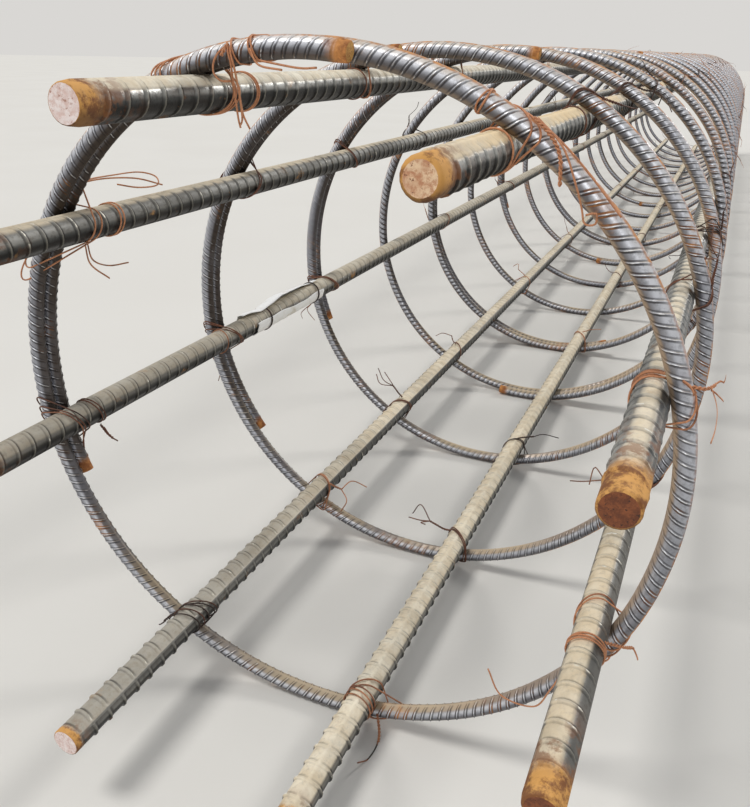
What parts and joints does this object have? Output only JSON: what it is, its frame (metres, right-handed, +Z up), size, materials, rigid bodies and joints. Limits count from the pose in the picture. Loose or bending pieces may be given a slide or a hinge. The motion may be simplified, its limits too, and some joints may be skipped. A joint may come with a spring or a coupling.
{
  "type": "rebar cage",
  "caption": "Round reinforcement cage for a bored pile: straight ribbed long bars inside lapped hoops, held by twisted wire ties.",
  "frame": {"origin": "on the floor, under the middle of the whole cage as it lies on its side", "axes": "+Y along the cage from its near end to its far end, +Z up, +X to the right seen from the near end"},
  "size_m": [0.6517, 6.052, 0.6502],
  "materials": {
    "long_bar_steel": "dark mill scale with dusty tops and orange rust at the sawn ends",
    "hoop_steel": "blue-grey mill scale, rust on the edges of the ribs",
    "tie_wire": "soft annealed wire with thin red-brown rust",
    "paper": "dusty white paper strip"
  },
  "bodies": {
    "root": {"long_bar_1": "long_bar_steel", "long_bar_2": "long_bar_steel", "long_bar_3": "long_bar_steel", "long_bar_4": "long_bar_steel", "long_bar_5": "long_bar_steel", "long_bar_6": "long_bar_steel", "long_bar_7": "long_bar_steel", "long_bar_8": "long_bar_steel", "hoop_01": "hoop_steel", "hoop_02": "hoop_steel", "hoop_03": "hoop_steel", "hoop_04": "hoop_steel", "hoop_05": "hoop_steel", "hoop_06": "hoop_steel", "hoop_07": "hoop_steel", "hoop_08": "hoop_steel", "hoop_09": "hoop_steel", "hoop_10": "hoop_steel", "hoop_11": "hoop_steel", "hoop_12": "hoop_steel", "hoop_13": "hoop_steel", "hoop_14": "hoop_steel", "hoop_15": "hoop_steel", "hoop_16": "hoop_steel", "hoop_17": "hoop_steel", "hoop_18": "hoop_steel", "hoop_19": "hoop_steel", "hoop_20": "hoop_steel", "wire_ties_01": "tie_wire", "wire_ties_02": "tie_wire", "wire_ties_03": "tie_wire", "wire_ties_04": "tie_wire", "wire_ties_05": "tie_wire", "wire_ties_06": "tie_wire", "wire_ties_07": "tie_wire", "wire_ties_08": "tie_wire", "wire_ties_09": "tie_wire", "wire_ties_10": "tie_wire", "wire_ties_11": "tie_wire", "wire_ties_12": "tie_wire", "wire_ties_13": "tie_wire", "wire_ties_14": "tie_wire", "wire_ties_15": "tie_wire", "wire_ties_16": "tie_wire", "wire_ties_17": "tie_wire", "wire_ties_18": "tie_wire", "wire_ties_19": "tie_wire", "wire_ties_20": "tie_wire", "paper_strip": "paper"}
  },
  "joints": []
}
